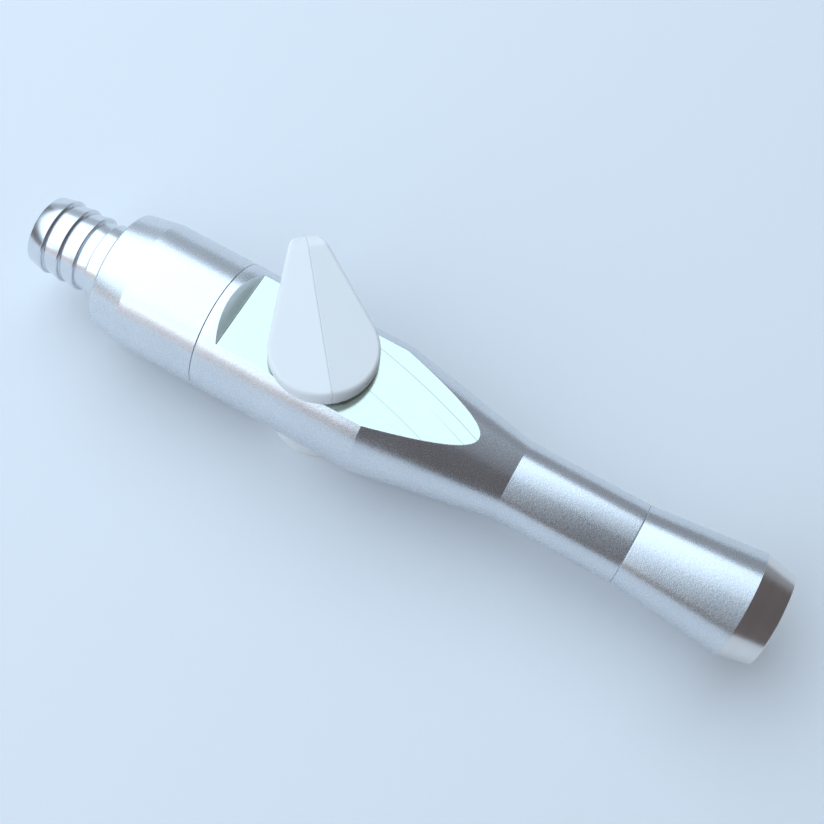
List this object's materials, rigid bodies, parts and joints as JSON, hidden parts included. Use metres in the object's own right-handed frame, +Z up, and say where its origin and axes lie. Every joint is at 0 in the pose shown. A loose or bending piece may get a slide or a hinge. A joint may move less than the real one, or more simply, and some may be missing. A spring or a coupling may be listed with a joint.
{
  "type": "dental suction handpiece",
  "caption": "Slim metal suction handpiece with a barbed swivelling hose tail, a white thumb lever turning a rotary valve, a tapered neck and a socketed nozzle.",
  "frame": {"origin": "centre of the bottom cap's flat face, on the valve's axis", "axes": "+X along the handpiece to the nozzle's mouth, +Z up the valve's axis through the lever"},
  "size_m": [0.105, 0.0226, 0.0196],
  "materials": {
    "blasted_aluminium": "bead blasted and anodised, satin",
    "turned_metal": "fine turned, bright",
    "steel": "ground",
    "white_plastic": "moulded, satin",
    "natural_plastic": "turned acetal",
    "rubber": "matt"
  },
  "bodies": {
    "body": {"main_body": "blasted_aluminium", "rear_sleeve": "blasted_aluminium", "front_nozzle": "blasted_aluminium", "sleeve_o_ring": "rubber", "nozzle_o_ring": "rubber", "tip_o_ring_front": "rubber", "tip_o_ring_rear": "rubber", "swivel_washer_rear": "natural_plastic", "swivel_washer_front": "natural_plastic", "stop_pin": "steel", "bottom_cap": "white_plastic"},
    "valve": {"lever": "white_plastic", "valve_spool": "steel", "spool_o_ring_upper": "rubber", "spool_o_ring_lower": "rubber", "lever_washer": "natural_plastic", "spool_wave_washer": "steel", "retaining_washer": "steel", "retaining_screw": "steel"},
    "tail": {"tail_barb": "turned_metal", "swivel_o_ring": "rubber"}
  },
  "joints": [
    {"name": "valve_turn", "type": "hinge", "parent": "body", "child": "valve", "pos_m": [0, 0, 0.01], "axis": [0, 0, 1], "range_deg": [-83.8, 6.2]},
    {"name": "tail_swivel", "type": "hinge", "parent": "body", "child": "tail", "pos_m": [-0.03, 0, 0.01], "axis": [1, 0, 0], "continuous": true}
  ]
}
